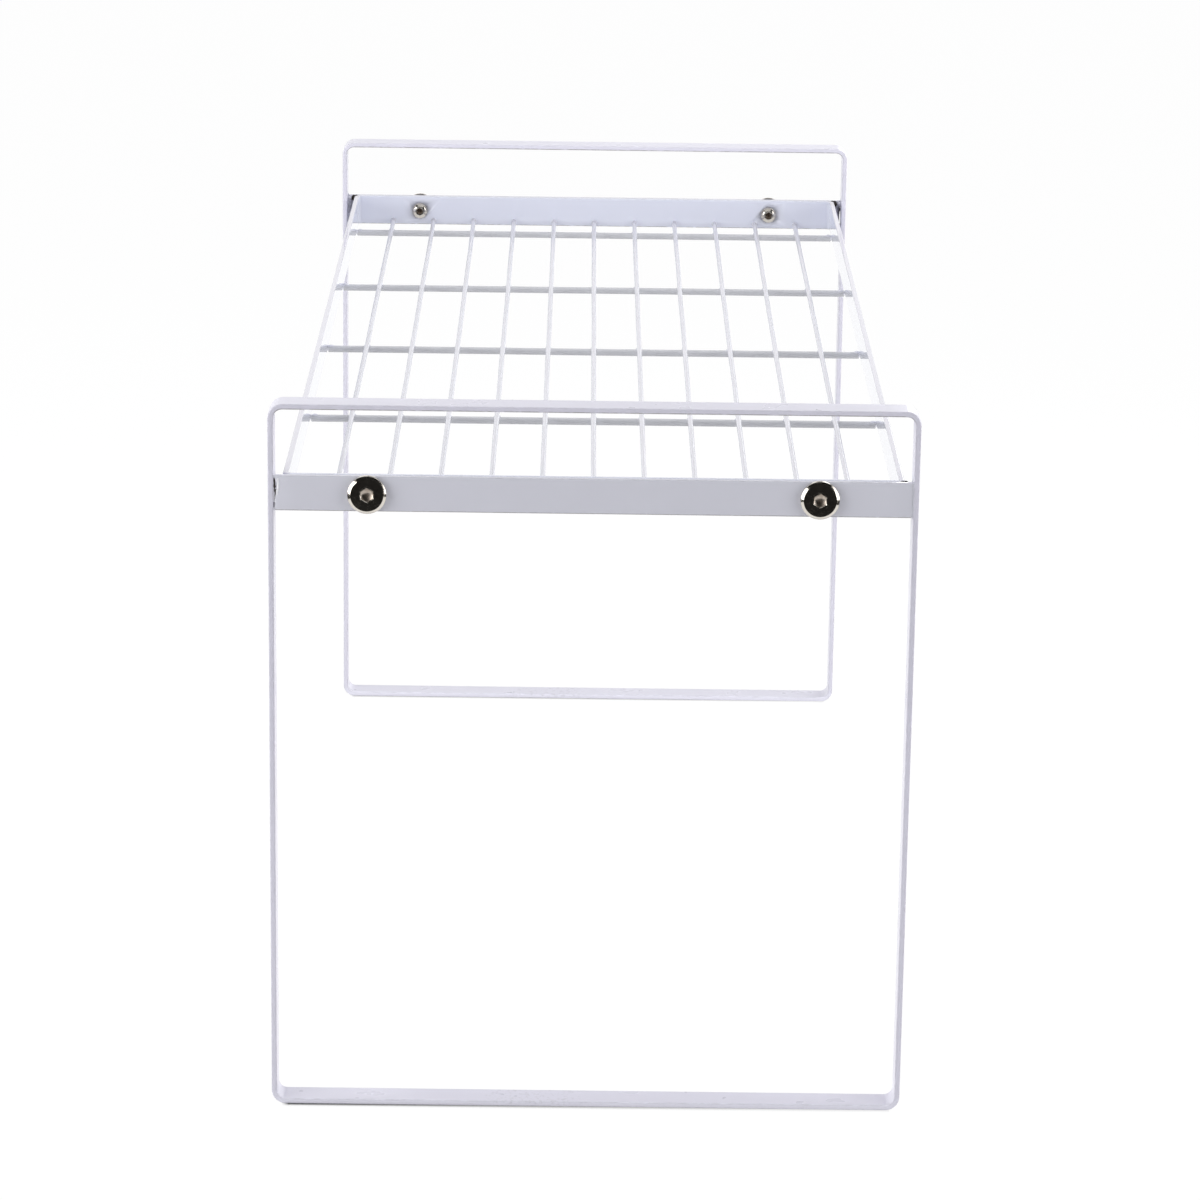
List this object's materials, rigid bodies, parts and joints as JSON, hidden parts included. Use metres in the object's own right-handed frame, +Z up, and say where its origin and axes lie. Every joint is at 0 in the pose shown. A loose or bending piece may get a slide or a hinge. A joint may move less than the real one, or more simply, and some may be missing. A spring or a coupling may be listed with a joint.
{
  "type": "kitchen shelf organizer",
  "caption": "Stackable kitchen shelf with a wire deck in a flat-bar frame, carried by a rectangular strap leg ring at each end.",
  "frame": {"origin": "on the surface that the shelf stands on, under the middle of the shelf", "axes": "+Z up, +Y along the shelf from the front leg ring to the back leg ring, +X across it to the right"},
  "size_m": [0.2, 0.4542, 0.229],
  "materials": {
    "white_powder_coat": "glossy cool white powder coat on steel",
    "bright_nickel": "bright nickel-plated steel"
  },
  "bodies": {
    "root": {"front_leg_ring": "white_powder_coat", "back_leg_ring": "white_powder_coat", "front_cross_plate": "white_powder_coat", "back_cross_plate": "white_powder_coat", "shelf_frame": "white_powder_coat", "deck_wire_01": "white_powder_coat", "deck_wire_02": "white_powder_coat", "deck_wire_03": "white_powder_coat", "deck_wire_04": "white_powder_coat", "deck_wire_05": "white_powder_coat", "deck_wire_06": "white_powder_coat", "deck_wire_07": "white_powder_coat", "deck_wire_08": "white_powder_coat", "deck_wire_09": "white_powder_coat", "deck_wire_10": "white_powder_coat", "deck_wire_11": "white_powder_coat", "cross_rod_1": "white_powder_coat", "cross_rod_2": "white_powder_coat", "cross_rod_3": "white_powder_coat", "cross_rod_4": "white_powder_coat", "cross_rod_5": "white_powder_coat", "front_left_sleeve_nut": "bright_nickel", "front_right_sleeve_nut": "bright_nickel", "back_left_sleeve_nut": "bright_nickel", "back_right_sleeve_nut": "bright_nickel", "front_left_button_screw": "bright_nickel", "front_right_button_screw": "bright_nickel", "back_left_button_screw": "bright_nickel", "back_right_button_screw": "bright_nickel"}
  },
  "joints": []
}
